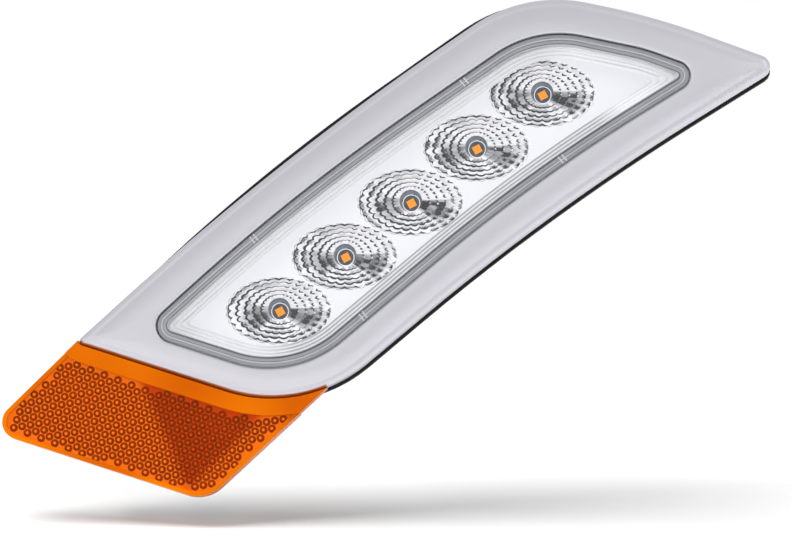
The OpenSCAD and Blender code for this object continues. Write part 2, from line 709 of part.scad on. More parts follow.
// The gasket's crown is bowed a little tighter, as its front half is longer
gasket_bow = 0.88;
gasket_radii = [for (i = [0 : 6]) outer_radii[i] * (i == 1 ? gasket_bow : 1)];
// Flat foam gasket, a little proud of the bezel's long edges, cut out for the case,
// the studs' heads and the screw heads
module mounting_gasket() {
    edge = moved_corners(bezel_corners, gasket_offsets);
    color([0.06, 0.06, 0.07]) place() layer(0, gasket_t) difference() {
        union() {
            polygon(rounded(edge, gasket_radii, arc_steps));
            reflex_blank(flange_edge + clear);
        }
        opening(-clear);
        all_studs() circle(stud_head_r + clear, $fn = round_fn);
        for (p = screw_at) translate(p) circle(screw_head_r + clear, $fn = round_fn);
    }
}

bezel();
bezel_screws();
outer_lens();
lens_seal();
reflector();
lamp_package(0);  // lamp_package_1
lamp_package(1);  // lamp_package_2
lamp_package(2);  // lamp_package_3
lamp_package(3);  // lamp_package_4
lamp_package(4);  // lamp_package_5
lamp_window(0);  // lamp_window_1
lamp_window(1);  // lamp_window_2
lamp_window(2);  // lamp_window_3
lamp_window(3);  // lamp_window_4
lamp_window(4);  // lamp_window_5
circuit_board();
board_screws();
driver_chip();
surge_diode();
capacitor();
resistors();
socket_terminals();
rear_case();
vent_membrane();
mounting_gasket();
stud_at(mid_stud_at);  // stud_middle
stud_at(rear_stud_at);  // stud_rear
stud_at(tip_stud_at);  // stud_tip
reflex_reflector();
reflex_backing();
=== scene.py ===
import math

import bpy
import numpy as np
from mathutils import Matrix, Vector, geometry


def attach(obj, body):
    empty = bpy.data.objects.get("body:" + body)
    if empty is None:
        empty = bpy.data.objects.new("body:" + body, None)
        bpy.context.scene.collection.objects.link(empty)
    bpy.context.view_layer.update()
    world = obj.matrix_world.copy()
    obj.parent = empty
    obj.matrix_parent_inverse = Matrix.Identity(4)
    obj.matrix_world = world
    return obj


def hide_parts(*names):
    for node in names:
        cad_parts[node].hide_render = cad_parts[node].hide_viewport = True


# Side repeater lamp for the flank of a truck bonnet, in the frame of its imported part.
# The front looks along -Y and the middle stud's foot is the origin.
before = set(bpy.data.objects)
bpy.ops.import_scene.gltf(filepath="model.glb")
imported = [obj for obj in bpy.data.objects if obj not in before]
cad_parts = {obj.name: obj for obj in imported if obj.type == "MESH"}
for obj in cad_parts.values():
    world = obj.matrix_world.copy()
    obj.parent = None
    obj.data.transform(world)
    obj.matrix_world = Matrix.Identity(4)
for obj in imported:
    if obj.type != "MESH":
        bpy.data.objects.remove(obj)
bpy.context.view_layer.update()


# Bezel
# The real piece is one ABS moulding with satin chrome plating: a shallow dome that rolls over
# at its outer edge and turns down to the lens. It is screwed on from behind.
RAKE = math.radians(39.2)
# Where the middle stud, whose foot is the origin, stands in the drawing.
STUD_U, STUD_V = -17.2552, 31.3112
CORNERS = np.array([(-118.5, 35.2), (-29, 39.7), (76, 30.6), (104, -4.9), (127.6, -45.7),
                    (35, -33.2), (-74, -34.2)])
OUTER_RADII = (1.5, 1050, 50, 240, 4, 800, 50)
LENS_RADII = (6, 720, 38.2, 60, 5, 600, 39)
CHROME_WIDTHS = np.array((12.8, 12.8, 11.8, 11.8, 11, 11, 9.7))


def placed(points):
    """Drawing points, in mm along the lamps, across them and out from the panel, as metres on the vehicle."""
    p = np.asarray(points, float)
    u, v = p[..., 0] - STUD_U, p[..., 1] - STUD_V
    x = u * math.cos(RAKE) - v * math.sin(RAKE)
    z = u * math.sin(RAKE) + v * math.cos(RAKE)
    return np.stack((x, -p[..., 2], z), -1) / 1000


def side(corners, i):
    d = corners[(i + 1) % len(corners)] - corners[i]
    return d / np.linalg.norm(d)


def inward(d):
    return np.array((d[1], -d[0]))


def moved(corners, widths):
    """The corners of a clockwise outline after each side has moved in by its width."""
    out = []
    for i, p in enumerate(corners):
        a, b = inward(side(corners, i - 1)), inward(side(corners, i))
        c = a @ b
        back, here = widths[i - 1], widths[i]
        out.append(p + (a * (back - here * c) + b * (here - back * c)) / (1 - c * c))
    return np.array(out)


def rounded(corners, radii, steps):
    """Arcs in place of the corners; a hollow corner has its centre outside."""
    out = []
    for i, p in enumerate(corners):
        d, e = side(corners, i - 1), side(corners, i)
        turn = math.atan2(d[0] * e[1] - d[1] * e[0], d @ e)
        bulge = math.copysign(radii[i], -turn)
        centre = p - d * radii[i] * math.tan(abs(turn) / 2) + inward(d) * bulge
        for k in range(steps[i] + 1):
            c, s = math.cos(turn * k / steps[i]), math.sin(turn * k / steps[i])
            a = inward(d)
            out.append(centre - np.array((a[0] * c - a[1] * s, a[0] * s + a[1] * c)) * bulge)
    return np.array(out)


def face_line(share, further):
    """The bezel's outline moved a share across the chrome (1 is the lens opening) and further in."""
    radii = []
    for i in range(7):
        r = OUTER_RADII[i] + (LENS_RADII[i] - OUTER_RADII[i]) * share
        radii.append(r + further if i == 5 else max(r - further, min(r, 1.2)))
    return rounded(moved(CORNERS, CHROME_WIDTHS * share + further), radii, (8, 48, 40, 24, 16, 48, 40))


def ring(line, height):
    return np.column_stack((line, np.full(len(line), height)))


def mesh_piece(name, points, faces, looks, covers=(), sharp=32):
    """A mesh in its place that rides with the lamp, with its normals outwards."""
    mesh = bpy.data.meshes.new(name)
    mesh.from_pydata([tuple(p) for p in points], [], faces)
    mesh.validate()
    mesh.shade_smooth()
    mesh.set_sharp_from_angle(angle=math.radians(sharp))
    mesh.materials.append(looks)
    piece = bpy.data.objects.new(name, mesh)
    bpy.context.scene.collection.objects.link(piece)
    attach(piece, "root")
    if covers:
        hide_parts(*covers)
    return piece


def swept(rings, closed=True):
    """Faces between rings with equal numbers of points."""
    n, m = len(rings[0]), len(rings)
    return [(k * n + i, k * n + (i + 1) % n, (k + 1) % m * n + (i + 1) % n, (k + 1) % m * n + i)
            for k in range(m if closed else m - 1) for i in range(n)]


def linear(code):
    """A written sRGB colour as linear values."""
    parts = [int(code[i:i + 2], 16) / 255 for i in (1, 3, 5)]
    return tuple(c / 12.92 if c <= 0.04045 else ((c + 0.055) / 1.055) ** 2.4 for c in parts) + (1,)


def add(tree, kind, feeds, **settings):
    """One node with its settings; feeds gives an input a value or the socket that feeds it."""
    node = tree.nodes.new(kind)
    for key, value in settings.items():
        setattr(node, key, value)
    for key, value in feeds.items():
        if isinstance(value, bpy.types.NodeSocket):
            tree.links.new(value, node.inputs[key])
        else:
            node.inputs[key].default_value = value
    return node


def blank_material(name):
    looks = bpy.data.materials.new(name)
    looks.use_nodes = True
    looks.node_tree.nodes.clear()
    return looks, looks.node_tree


def finish_material(looks, shader):
    add(looks.node_tree, "ShaderNodeOutputMaterial", {"Surface": shader})
    return looks


# Satin chrome on ABS: soft silver that takes up the light around it, with a faint drift in its
# sheen and a grain too fine to see singly.
satin_chrome, tree = blank_material("satin_chrome_plating")
where = add(tree, "ShaderNodeTexCoord", {}).outputs["Object"]
drift = add(tree, "ShaderNodeTexNoise", {"Vector": where, "Scale": 14.0, "Detail": 2.0})
grain = add(tree, "ShaderNodeTexNoise", {"Vector": where, "Scale": 5200.0, "Detail": 3.0})
sheen = add(tree, "ShaderNodeMapRange", {"Value": drift.outputs["Fac"], "To Min": 0.3, "To Max": 0.36})
bump = add(tree, "ShaderNodeBump", {"Height": grain.outputs["Fac"], "Strength": 0.12, "Distance": 0.0001})
finish_material(satin_chrome, add(tree, "ShaderNodeBsdfPrincipled", {
    "Base Color": linear("#CDCCD3"), "Metallic": 1.0, "Roughness": sheen.outputs["Result"],
    "Normal": bump.outputs["Normal"]}).outputs["BSDF"])

# The wall's section, once round: the share of the way across the chrome, mm further in, and height.
section = [(0, 0, 7.0)]
section += [(0, 2.6 * (1 - math.cos(t)), 7.4 + 1.9 * math.sin(t)) for t in np.linspace(0, math.pi / 2, 12)]
section += [(t, 2.6 * (1 - t) - 1.2 * t, 9.3 + 1.9 * (1 - (1 - t) ** 2)) for t in np.linspace(0.05, 1, 20)]
section += [(1, -1.2 * (1 - math.sin(t)), 10.2 + math.cos(t)) for t in np.linspace(0.15, math.pi / 2, 9)]
section += [(1, 0, 9.4), (1, -3.2, 9.4)]
section += [(t, 3.2 * (1 - t) - 4 * t, 9.3 + 1.9 * (1 - (1 - t) ** 2) - 1.6) for t in (1, 0.8, 0.6, 0.4, 0.3)]
section += [(0, 1.8, 7.0)]
rings = [ring(face_line(share, further), height) for share, further, height in section]
mesh_piece("bezel_shell", placed(np.concatenate(rings)), swept(rings), satin_chrome,
           ["bezel"])


# Outer lens
# Clear polycarbonate, moulded in one: a polished window, a rim with a raised rib and four flow
# notches, and a flange under the bezel. Its skirt is bonded into the rear case.


def glazed(name, tint, gloss, rough):
    """Clear plastic: seen straight through, with a polished skin that mirrors more at a glancing look."""
    looks, tree = blank_material(name)
    where = add(tree, "ShaderNodeTexCoord", {}).outputs["Object"]
    wave = add(tree, "ShaderNodeTexNoise", {"Vector": where, "Scale": 60.0})
    polish = add(tree, "ShaderNodeMapRange", {
        "Value": wave.outputs["Fac"], "To Min": rough * 0.8, "To Max": rough * 1.2})
    mirror = add(tree, "ShaderNodeBsdfGlossy", {"Color": linear(gloss), "Roughness": polish.outputs[0]})
    through = add(tree, "ShaderNodeBsdfTransparent", {"Color": linear(tint)})
    glance = add(tree, "ShaderNodeLayerWeight", {"Blend": 0.5})
    steep = add(tree, "ShaderNodeMath", {0: glance.outputs["Facing"], 1: 5.0}, operation="POWER")
    share = add(tree, "ShaderNodeMath", {0: steep.outputs[0], 1: 0.7, 2: 0.03}, operation="MULTIPLY_ADD")
    return finish_material(looks, add(tree, "ShaderNodeMixShader", {
        0: share.outputs[0], 1: through.outputs[0], 2: mirror.outputs[0]}).outputs[0])


# The window is almost unseen: a faint cool tint and a thin gloss.
clear_window = glazed("clear_polycarbonate_window", "#FBFCFD", "#FFFFFF", 0.04)

# The rim is thick and carries the light along: a middle grey with painted shade, dark where its steep walls
# would bend the sight line into the case, and a painted highlight along the crest of its rib. "shade" says
# how dark the painted shade is.
clear_rim, tree = blank_material("clear_polycarbonate_rim")
shade = add(tree, "ShaderNodeAttribute", {}, attribute_name="shade")
where = add(tree, "ShaderNodeTexCoord", {}).outputs["Object"]
flow = add(tree, "ShaderNodeTexNoise", {"Vector": where, "Scale": 120.0, "Detail": 2.0})
paler = add(tree, "ShaderNodeMix", {0: flow.outputs["Fac"], 6: linear("#C8C9CF"), 7: linear("#DADBE0")},
            data_type="RGBA")
tone = add(tree, "ShaderNodeMix", {0: shade.outputs["Fac"], 6: paler.outputs[2], 7: linear("#3C3D44")},
           data_type="RGBA")
body = add(tree, "ShaderNodeBsdfPrincipled", {
    "Base Color": tone.outputs[2], "Metallic": 0.5, "Roughness": 0.25})
through = add(tree, "ShaderNodeBsdfTransparent", {"Color": linear("#C8C9CE")})
finish_material(clear_rim, add(tree, "ShaderNodeMixShader", {
    0: 0.88, 1: through.outputs[0], 2: body.outputs[0]}).outputs[0])


def shaded(piece, values):
    """Keeps the painted shade of each point of a piece, how dark it looks, for its material to read."""
    layer = piece.data.attributes.new("shade", "FLOAT", "POINT")
    layer.data.foreach_set("value", np.array(values, dtype=np.float32))
    return piece


# Distance in from the lens opening, height, and how dark the painted shade is.
RIM = [(0.25, 9.3, 1), (0.25, 9.9, 0.9), (0.5, 10.0, 0.66), (1.3, 10.0, 0.5), (1.5, 10.2, 0.5),
       (1.75, 10.35, 0.25), (1.95, 10.35, 0.25), (2.2, 10.2, 0.5), (2.35, 10.0, 0.5), (3.2, 10.0, 0.55),
       (3.45, 10.0, 0.95), (3.6, 10.5, 0.8), (3.75, 11.1, 0.4), (4.0, 11.3, 0.2)]
rings = [ring(face_line(1, e), z) for e, z, _ in RIM]
count = len(rings[0])
shaded(mesh_piece("lens_rim", placed(np.concatenate(rings)), swept(rings, False), clear_rim,
                  ["outer_lens"]), np.repeat([dark for _, _, dark in RIM], count))

rings = [ring(face_line(1, e), z) for e, z in [(4.0, 11.3), (4.0, 9.3)]]
window_faces = [tuple(range(count)), tuple(range(2 * count - 1, count - 1, -1))] + swept(rings, False)
mesh_piece("lens_window", placed(np.concatenate(rings)), window_faces, clear_window,
           ["outer_lens"])

# Flow notches: each is a pair of edges that crosses the rim, painted bright as a highlight, at a place along
# the upper side (1) or the lower side (-1).
NOTCHES = ((-49, 1), (40, 1), (-37, -1), (49, -1))
EDGE_FACES = ((1, 3, 7, 5), (0, 1, 5, 4), (2, 6, 7, 3), (0, 2, 3, 1), (4, 5, 7, 6))
points, faces = [], []
for at, sign in NOTCHES:
    for offset in (-0.75, 0.75):
        ends = []
        for e in (0.5, 3.4):
            line = face_line(1, e)
            near_by = [k for k in range(len(line)) if line[k][1] * sign > 5]
            k = max((k for k in near_by if (line[k][0] - at) * sign <= 0), key=lambda k: line[k][0] * sign)
            a, b = line[k], line[(k + 1) % len(line)]
            ends.append(a + (b - a) * (at + offset - a[0]) / (b[0] - a[0]))
        base = len(points)
        points += [(end[0] + w, end[1], z) for end in ends for w in (-0.22, 0.22) for z in (9.95, 10.45)]
        faces += [tuple(base + i for i in face) for face in EDGE_FACES]
shaded(mesh_piece("rim_notches", placed(points), faces, clear_rim, ["outer_lens"]),
       np.full(len(points), 0.05))


# Reflector
# Polycarbonate with a vacuum metallised face: a flat deck, ledges that climb to the lens, and
# five oval cups, each with five stepped rings of 28 pillow facets round its lamp hole.

# Metal film over smooth moulded plastic: bright and clean, and lifted by a faint painted glow. The steep
# risers get painted shade, and the facets that are turned to the dark of the hole a painted dark reflection,
# grey to black; "shade" on the mesh says how much.
silvered, tree = blank_material("vacuum_metallised_film")
where = add(tree, "ShaderNodeTexCoord", {}).outputs["Object"]
haze = add(tree, "ShaderNodeTexNoise", {"Vector": where, "Scale": 40.0, "Detail": 2.0})
blur = add(tree, "ShaderNodeMapRange", {"Value": haze.outputs["Fac"], "To Min": 0.08, "To Max": 0.16})
shade = add(tree, "ShaderNodeAttribute", {}, attribute_name="shade")
tone = add(tree, "ShaderNodeMix", {0: shade.outputs["Fac"], 6: linear("#F8F5F7"), 7: linear("#121317")},
           data_type="RGBA")
finish_material(silvered, add(tree, "ShaderNodeBsdfPrincipled", {
    "Base Color": tone.outputs[2], "Metallic": 0.3, "Roughness": blur.outputs["Result"],
    "Emission Color": tone.outputs[2], "Emission Strength": 0.13}).outputs["BSDF"])

LAMPS, LAMP_PITCH = 5, 29
# The lamp hole's radius and the brim's half length and half height.
HOLE_R, HALF_L, HALF_H = 3.85, 17.6, 11.2
# Height of the hole, rise from there to the brim, and the drop at each ring's edge.
HOLE_Z, CUP_DEPTH, CUP_STEP = -0.4, 6.4, 0.5
RINGS, COLUMNS = 5, 28
# Depth of the scallops, as a share of the way from the hole to the brim.
SCALLOP = 0.044
# How far the hole and the brim lie off the lamp's middle: across and up.
HOLE_UP = np.array((-0.2, 0.8))
LEAN = np.array((0.5 * math.sin(RAKE), -0.5 * math.cos(RAKE)))
# Points to a facet, round the cup and up it.
PER_COLUMN, PER_RING = 8, 6
# Deck height, its painted grey of reflected shade, and how far out the brim lies, as a share of the cup.
DECK_HEIGHT, DECK_SHADE, BRIM = 6.0, 0.18, 1.012


def lamp_foot(i):
    """The point on the panel behind lamp i."""
    return placed((LAMP_PITCH * (i - LAMPS // 2), 0, 0))


def lamp_centre(i):
    """Middle of lamp i on the vehicle, in mm: across and up."""
    x, _, z = lamp_foot(i) * 1000
    return np.array((x, z))


def cup_height(share):
    return HOLE_Z + CUP_DEPTH * share ** 1.45


def near(angle, middle, width):
    """1 at a direction round the cup and 0 a width away from it, in degrees."""
    away = np.abs((angle - middle + 180) % 360 - 180)
    return np.clip(1 - away / width, 0, 1)


def cup_loop(share, height, bow=1.0, pillow=0.0, shift=0.0, uneven=1.0):
    """One closed loop round a cup, whose long axis is level; bow turns the scallops on, and uneven
    makes some of them deeper than others."""
    n = COLUMNS * PER_COLUMN
    t = np.arange(n) / n * 2 * math.pi
    column = (np.arange(n) % PER_COLUMN) / PER_COLUMN
    arch = 4 * column * (1 - column)
    s = share + bow * uneven * SCALLOP * (2 * arch - 1) * max(share, 0.3) - shift
    x = (HOLE_R + (HALF_L - HOLE_R) * s) * np.cos(t) + LEAN[0] * s + HOLE_UP[0] * (1 - s)
    z = (HOLE_R + (HALF_H - HOLE_R) * s) * np.sin(t) + LEAN[1] * s + HOLE_UP[1] * (1 - s)
    return np.column_stack((x, -(height + pillow * arch), z))


def riser_reach(angle, k):
    """How far riser k leans in over its facet, as a share of the cup: most at the left."""
    turn = np.radians(angle)
    spoke = np.hypot((HALF_L - HOLE_R) * np.cos(turn), (HALF_H - HOLE_R) * np.sin(turn))
    width = 0.36 + 0.7 * near(angle, 165, 75) + 0.4 * near(angle, 250, 75) + 0.55 * near(angle, 30, 55)
    if k == RINGS - 1:
        width += 0.45 * near(angle, 90, 40)
    return width / spoke


# Painted reflections: facets at the right and the lower left of the hole mirror the dark of the hole, and the
# left brim mirrors the case. Painted shade darkens every facet a little at its foot, and the deeper facets
# more. No two cups are quite alike.
step = np.arange(COLUMNS * PER_COLUMN)
angle = step / len(step) * 360
column_index = step // PER_COLUMN
column_part = step % PER_COLUMN / PER_COLUMN
dice = np.random.default_rng(7)


def facet_shade(k, f, luck, uneven):
    """How dark the painted shade and reflections on the facets of ring k are at share f from foot to top;
    luck differs from facet to facet.
    """
    share = (k + f) / RINGS
    right_wedge = near(angle, 338, 28) ** 0.25 * np.clip(2.3 - share * 2.5, 0, 1)
    # Scattered facets to the right of the hole that carry a painted dark reflection.
    right_dark_reflected_facets = near(angle, 335, 50) ** 0.4 * (luck > 0.25) * (share > 0.35)
    right_dark_reflected_facets = right_dark_reflected_facets * (abs(column_part - 0.45) < 0.3) * (f > 0.35)
    left_wedge = near(angle, 200, 36) ** 0.3 * np.clip(1.6 - abs(share - 0.3) * 3.4, 0, 1)
    left_brim = near(angle, 165, 85) * np.clip(share * 1.7 - 0.35, 0, 1)
    low = near(angle, 275, 85) ** 0.5 * 0.72
    patch = right_wedge * (0.6 + 0.5 * luck) + right_dark_reflected_facets * 0.8 + left_wedge * (0.46 + 0.34 * luck)
    mid_facet = np.clip(1.35 - 2.4 * abs(column_part - 0.5), 0, 1)
    dark_reflected_facets = (left_brim * 1.15 + low) * (luck > 0.42) * mid_facet * (f > 0.3)
    # A little random grey, plus painted shade at each facet's foot and on the deeper facets.
    random_grey_and_foot_shade = 0.05 * luck + 0.22 * np.clip(uneven - 1.1, 0, 1) + 0.06 * (1 - f) ** 2
    return np.clip(patch + dark_reflected_facets * 0.8 + random_grey_and_foot_shade, 0, 1)


def cup():
    """The loops of one cup, ring by ring from its hole's wall to the brim, and how dark the painted shade on
    each one is.
    """
    luck = dice.random((RINGS, COLUMNS))[:, column_index]
    uneven = 0.4 + 1.3 * dice.random((RINGS, COLUMNS))[:, column_index]
    # The hole's wall starts with painted shade, and its lip has none.
    loops = [cup_loop(0, HOLE_Z - 1.4, 0), cup_loop(0, HOLE_Z - 0.3, 0)]
    shades = [np.full(len(angle), 0.6), np.zeros(len(angle))]
    for k in range(RINGS):
        low, high = k / RINGS, (k + 1) / RINGS
        bulge = uneven[k] if k < RINGS - 1 else 1.0
        for j in range(PER_RING + 1):
            f = j / PER_RING
            share = low + (high - low) * f
            height = cup_height(low) * (1 - f) + (cup_height(high) - CUP_STEP) * f
            lean_in = riser_reach(angle, k) if j == PER_RING else 0
            pillow = 0.28 * math.sin(math.pi * f) + 0.1
            loops.append(cup_loop(share, height, min(1, k + f), pillow, lean_in, bulge))
            shades.append(facet_shade(k, f, luck[k], uneven[k]))
        # A riser's foot and top share one dark line of painted shade, which breaks into dots at the upper
        # right.
        dots = 1.0 * (np.abs(column_part - 0.5) > 0.22)
        line = 0.5 + near(angle, 170, 90) * 0.9 + near(angle, 260, 90) * 0.8
        line = np.clip(line + (k == RINGS - 1) * near(angle, 90, 60), 0, 1)
        line = np.where(near(angle, 32, 55) > 0.1, dots, line)
        for inside, height in ((riser_reach(angle, k) * 0.95, cup_height(high) - CUP_STEP + 0.05),
                               (riser_reach(angle, k) * 0.12, cup_height(high) - 0.06)):
            loops.append(cup_loop(high, height, 1, 0.1, inside, bulge))
            shades.append(line)
    loops.append(cup_loop(BRIM, DECK_HEIGHT))
    shades.append(np.zeros(len(angle)))
    return loops, shades


points, dark, faces, brims = [], [], [], []
for i in range(LAMPS):
    loops, shades = cup()
    x, z = lamp_centre(i)
    start = len(points)
    points += [p + (x, 0, z) for loop in loops for p in loop]
    dark += list(np.concatenate(shades))
    faces += [tuple(start + j for j in reversed(face)) for face in swept(loops, False)]
    brims.append(loops[-1] + (x, 0, z))

# The deck fills the space between the lowest ledge and the five brims. Each ledge line is a
# distance in from the lens opening and a height.
LEDGES = [(8.05, DECK_HEIGHT), (7.75, 6.2), (6.95, 6.2), (6.55, 6.6), (5.75, 6.65), (5.35, 7.2), (4.6, 7.2),
          (4.2, 7.8), (0.2, 7.8), (0.2, 7.0)]
deck_edge = placed(ring(face_line(1, LEDGES[0][0]), DECK_HEIGHT)) * 1000
flat, edges = [], []
for loop in [deck_edge] + brims:
    m = len(flat)
    flat += [Vector((p[0], p[2])) for p in loop]
    edges += [(m + i, m + (i + 1) % len(loop)) for i in range(len(loop))]
flat, _, triangles, *_ = geometry.delaunay_2d_cdt(flat, edges, [], 1, 1e-6)
base = len(points)
points += [(p.x, -DECK_HEIGHT, p.y) for p in flat]
dark += [DECK_SHADE] * len(flat)
for tri in triangles:
    c = np.array(sum((flat[i] for i in tri), Vector((0, 0))) / 3) - LEAN
    if all(math.hypot(*((c - lamp_centre(i)) / (HALF_L, HALF_H))) > 0.995 for i in range(LAMPS)):
        faces.append(tuple(base + i for i in tri))
for j, (e, z) in enumerate(LEDGES):
    loop = placed(ring(face_line(1, e), z)) * 1000
    base, m = len(points), len(loop)
    points += list(loop)
    # The slopes get a painted reflection of the dark rim along the lower edge, and little of it elsewhere.
    along, across = ring(face_line(1, e), z)[:, :2].T
    slope_painted_reflection = 0.32 + 0.42 * np.clip(-across / 10 - 0.4, 0, 1) * np.clip((along + 74) / 12, 0.2, 1)
    slope_painted_reflection *= np.clip((78 - along) / 12, 0.15, 1)
    dark += list(slope_painted_reflection if 1 <= j <= 7 and j % 2 else np.full(m, DECK_SHADE))
    if j:
        faces += [(base - m + i, base - m + (i + 1) % m, base + (i + 1) % m, base + i) for i in range(m)]
reflector = mesh_piece("faceted_reflector", np.array(points) / 1000, faces, silvered,
                       ["reflector"], sharp=24)
shaded(reflector, dark)


# Lamps
# Five surface-mount amber lamps on the board: a dark moulded package round a square window, and
# a moulded collar that rings each window.


def mottled(name, one, other, grain, bump=0.0, **feeds):
    """A moulded or rolled surface whose tone drifts between two colours; grain is its size in mm."""
    looks, tree = blank_material(name)
    where = add(tree, "ShaderNodeTexCoord", {}).outputs["Object"]
    drift = add(tree, "ShaderNodeTexNoise", {"Vector": where, "Scale": 1000 / grain, "Detail": 3.0})
    tone = add(tree, "ShaderNodeMix", {0: drift.outputs["Fac"], 6: linear(one), 7: linear(other)},
               data_type="RGBA")
    feeds = {key.replace("_", " "): value for key, value in feeds.items()}
    body = add(tree, "ShaderNodeBsdfPrincipled", {"Base Color": tone.outputs[2], **feeds})
    if bump:
        rough = add(tree, "ShaderNodeBump", {
            "Height": drift.outputs["Fac"], "Strength": bump, "Distance": grain / 3000})
        tree.links.new(rough.outputs["Normal"], body.inputs["Normal"])
    finish_material(looks, body.outputs["BSDF"])
    return looks


def wear(looks, *nodes):
    """Gives a material to pieces that keep their shape from the part."""
    for node in nodes:
        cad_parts[node].data.materials[0] = looks


packages = [f"lamp_package_{i + 1}" for i in range(LAMPS)]
# Moulded epoxy round the window: near black, with a blue cast.
wear(mottled("moulded_lamp_package", "#14171C", "#2A2F38", 1.1, Roughness=0.35), *packages)
# Amber silicone over the chip: a full orange with a painted glow that keeps it bright in the shade of its
# cup.
amber_window = mottled("amber_silicone_window", "#D87C00", "#E8930C", 1.4, Roughness=0.5,
                       Specular_IOR_Level=0.1, Emission_Strength=0.36, Emission_Color=linear("#FF9800"))
wear(amber_window, *[f"lamp_window_{i + 1}" for i in range(LAMPS)])
# White solder mask, painted a cool grey for the shade it lies in inside the holes.
wear(mottled("solder_mask", "#6C7480", "#8A929E", 0.7, Roughness=0.5), "circuit_board")
# Collar: slate walls, their dark partly the epoxy's own and partly painted shade of the hole, that lean out
# to a lip painted bright, with a faint glow, as a highlight. Each profile is radius and distance inwards.
collar_slate = mottled("collar_epoxy", "#232A36", "#3D4757", 1.2, Roughness=0.3)
collar_lip = mottled("collar_lip", "#E4E6EA", "#F6F6F8", 1.2, Roughness=0.25, Emission_Strength=0.15,
                     Emission_Color=linear("#FFFFFF"))
COLLAR_LIP = [(3.0, 1.15), (3.0, 0.72), (2.75, 0.75)]
COLLAR_WALL = [(2.75, 0.75), (2.05, 0.95), (2.02, 1.15)]


def turned(name, middle, profile, looks, covers=(), capped=True, sides=48):
    """A piece turned about an axis along Y; the profile gives radius and distance inwards, in mm."""
    t = np.arange(sides) / sides * 2 * math.pi
    rings = [np.column_stack((r * np.cos(t), np.full(sides, y), r * np.sin(t))) / 1000 + middle
             for r, y in profile]
    last = sides * (len(profile) - 1)
    caps = [tuple(reversed(range(sides))), tuple(range(last, last + sides))] if capped else []
    return mesh_piece(name, np.concatenate(rings), swept(rings, False) + caps, looks, covers)


for i, name in enumerate(packages):
    turned(f"{name}_collar_wall", lamp_foot(i), COLLAR_WALL, collar_slate, capped=False)
    turned(f"{name}_collar_lip", lamp_foot(i), COLLAR_LIP, collar_lip, capped=False)


# Rear case, board and fasteners
# A moulded case closes the lamp's back, with the board, its parts and the plug socket inside. A
# foam gasket seals it to the vehicle's panel, and three studs hold it there.

# Black ABS with a fine moulded grain.
wear(mottled("black_abs", "#141416", "#2A2A2D", 0.42, 0.3, Roughness=0.5), "rear_case")
# Closed-cell foam: a dull near-black, with cells that catch a little light.
gasket_foam, tree = blank_material("closed_cell_foam")
where = add(tree, "ShaderNodeTexCoord", {}).outputs["Object"]
cells = add(tree, "ShaderNodeTexVoronoi", {"Vector": where, "Scale": 1800.0})
bump = add(tree, "ShaderNodeBump", {"Height": cells.outputs["Distance"], "Strength": 0.4, "Distance": 0.0003})
tone = add(tree, "ShaderNodeMix", {0: cells.outputs["Distance"], 6: linear("#08080A"), 7: linear("#1C1C1F")},
           data_type="RGBA")
finish_material(gasket_foam, add(tree, "ShaderNodeBsdfPrincipled", {
    "Base Color": tone.outputs[2], "Roughness": 0.8, "Normal": bump.outputs["Normal"]}).outputs["BSDF"])
wear(gasket_foam, "mounting_gasket")
# The gasket's lip stands proud of the bezel along the top edge and swells towards its middle.
LIP_FROM, LIP_TO, LIP_PROUD = -100, 73, 1.9
LIP_LOW, LIP_HIGH = 0.3, 2.45
inner, outer = face_line(0, 0.4), face_line(0, -LIP_PROUD)
along = (inner[:, 0] - LIP_FROM) / (LIP_TO - LIP_FROM)
kept = [k for k in range(len(inner)) if inner[k][1] > 0 and 0 < along[k] < 1]
swell = np.sin(math.pi * along[kept, None]) ** 0.6
root = inner[kept]
lip = root + (outer - inner)[kept] * swell
lines = [ring(root, LIP_LOW), ring(root, LIP_HIGH), ring(lip, LIP_HIGH), ring(lip, LIP_LOW)]
n = len(kept)
faces = [(k * n + i, k * n + i + 1, (k + 1) % 4 * n + i + 1, (k + 1) % 4 * n + i)
         for k in range(4) for i in range(n - 1)]
mesh_piece("gasket_lip", placed(np.concatenate(lines)), faces, gasket_foam)

# Zinc plating: a cool grey metal with a soft spangle.
zinc = mottled("zinc_plated_steel", "#A9ACB3", "#DADCE0", 1.7, Metallic=1.0, Roughness=0.32)
wear(zinc, "bezel_screws", "board_screws")
# What sits on the board: matt epoxy bodies, a drawn can and tinned tongues.
wear(mottled("moulded_epoxy", "#0E0E10", "#1D1D21", 0.4, 0.2, Roughness=0.6),
     "driver_chip", "surge_diode", "resistors")
wear(mottled("drawn_aluminium", "#B4B6BA", "#D9DADD", 0.8, Metallic=1.0, Roughness=0.3), "capacitor")
wear(mottled("tinned_brass", "#C9B77E", "#DCD3B4", 1.0, Metallic=1.0, Roughness=0.28), "socket_terminals")
# Cured silicone bead, breather film and the white moulding behind the prisms.
wear(mottled("cured_silicone", "#44454A", "#5A5B61", 1.5, Roughness=0.4), "lens_seal")
wear(mottled("breather_film", "#BDBDB8", "#DADAD6", 0.25, 0.5, Roughness=0.9), "vent_membrane")
wear(mottled("white_abs", "#CFCFCB", "#E0E0DC", 0.5, 0.2, Roughness=0.45), "reflex_backing")


def socket(tree, name, kind, value=None, way="INPUT"):
    made = tree.interface.new_socket(name, in_out=way, socket_type=kind)
    if value is not None:
        made.default_value = value
    return made.identifier


def grown(name, points, tree, values, covers):
    """Runs a node tree on a cloud of points and keeps what it makes as a plain mesh."""
    seed = bpy.data.meshes.new(name)
    seed.from_pydata([tuple(p) for p in points], [], [])
    piece = bpy.data.objects.new(name, seed)
    bpy.context.scene.collection.objects.link(piece)
    modifier = piece.modifiers.new(name, "NODES")
    modifier.node_group = tree
    for identifier, value in values.items():
        modifier[identifier] = value
    made = bpy.data.meshes.new_from_object(piece.evaluated_get(bpy.context.evaluated_depsgraph_get()))
    piece.modifiers.remove(modifier)
    piece.data = made
    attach(piece, "root")
    if covers:
        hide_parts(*covers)
    return piece


